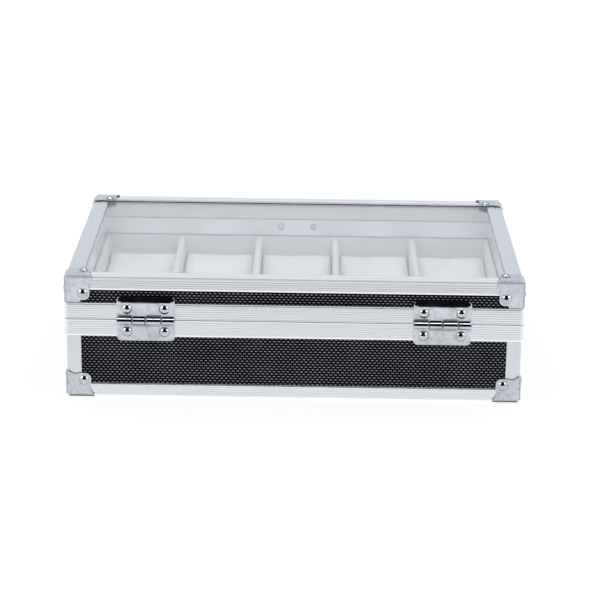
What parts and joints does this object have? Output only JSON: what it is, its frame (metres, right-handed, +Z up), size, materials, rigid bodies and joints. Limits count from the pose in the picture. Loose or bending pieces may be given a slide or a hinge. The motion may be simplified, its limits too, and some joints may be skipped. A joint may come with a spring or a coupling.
{
  "type": "multi glasses organizer",
  "caption": "Aluminium-framed display case with a clear hinged lid, riveted corner caps and padded, divided compartments for folded glasses.",
  "frame": {"origin": "on the table under the middle of the case's footprint", "axes": "+Z up, +Y towards the front, where the latch is, so the hinges are at -Y; +X along the long side"},
  "size_m": [0.3136, 0.2186, 0.0888],
  "materials": {
    "aluminium": "satin",
    "polished_steel": "polished",
    "black_panel": "matte",
    "velvet": "matte",
    "velvet_pad": "matte",
    "clear_pane": "polished"
  },
  "bodies": {
    "base": {"bottom_board": "black_panel", "base_wall_front": "black_panel", "base_wall_back": "black_panel", "base_wall_left": "black_panel", "base_wall_right": "black_panel", "base_post_front_right": "aluminium", "base_post_front_left": "aluminium", "base_post_back_left": "aluminium", "base_post_back_right": "aluminium", "bottom_trim_front": "aluminium", "bottom_trim_back": "aluminium", "bottom_trim_left": "aluminium", "bottom_trim_right": "aluminium", "base_rim": "aluminium", "base_cap_front_right": "polished_steel", "base_cap_front_left": "polished_steel", "base_cap_back_left": "polished_steel", "base_cap_back_right": "polished_steel", "tray_liner": "velvet", "pad_1": "velvet_pad", "pad_2": "velvet_pad", "pad_3": "velvet_pad", "pad_4": "velvet_pad", "pad_5": "velvet_pad", "divider_1": "velvet", "divider_2": "velvet", "divider_3": "velvet", "divider_4": "velvet", "hinge_lower_left": "polished_steel", "hinge_pin_left": "polished_steel", "hinge_lower_right": "polished_steel", "hinge_pin_right": "polished_steel", "latch_base": "polished_steel", "lever_pin": "polished_steel"},
    "lid": {"lid_glass": "clear_pane", "lid_wall_front": "black_panel", "lid_wall_back": "black_panel", "lid_wall_left": "black_panel", "lid_wall_right": "black_panel", "lid_post_front_right": "aluminium", "lid_post_front_left": "aluminium", "lid_post_back_left": "aluminium", "lid_post_back_right": "aluminium", "top_trim_front": "aluminium", "top_trim_back": "aluminium", "top_trim_left": "aluminium", "top_trim_right": "aluminium", "lid_rim": "aluminium", "lid_cap_front_right": "polished_steel", "lid_cap_front_left": "polished_steel", "lid_cap_back_left": "polished_steel", "lid_cap_back_right": "polished_steel", "lid_lining": "velvet", "hinge_upper_left": "polished_steel", "hinge_upper_right": "polished_steel", "catch_plate": "polished_steel"},
    "lever": {"latch_lever": "polished_steel", "claw_pin": "polished_steel"},
    "claw": {"latch_claw": "polished_steel"}
  },
  "joints": [
    {"name": "lid_hinge", "type": "hinge", "parent": "base", "child": "lid", "pos_m": [0, -0.1062, 0.05615], "axis": [1, 0, 0], "range_deg": [0, 165]},
    {"name": "lever_pivot", "type": "hinge", "parent": "base", "child": "lever", "pos_m": [0, 0.1068, 0.05], "axis": [1, 0, 0], "range_deg": [0, 120]},
    {"name": "claw_pivot", "type": "hinge", "parent": "lever", "child": "claw", "pos_m": [0, 0.1068, 0.042], "axis": [1, 0, 0], "range_deg": [-120, 0]}
  ],
  "couplings": [
    {"joint": "claw_pivot", "follows": "lever_pivot", "ratio": -1}
  ]
}
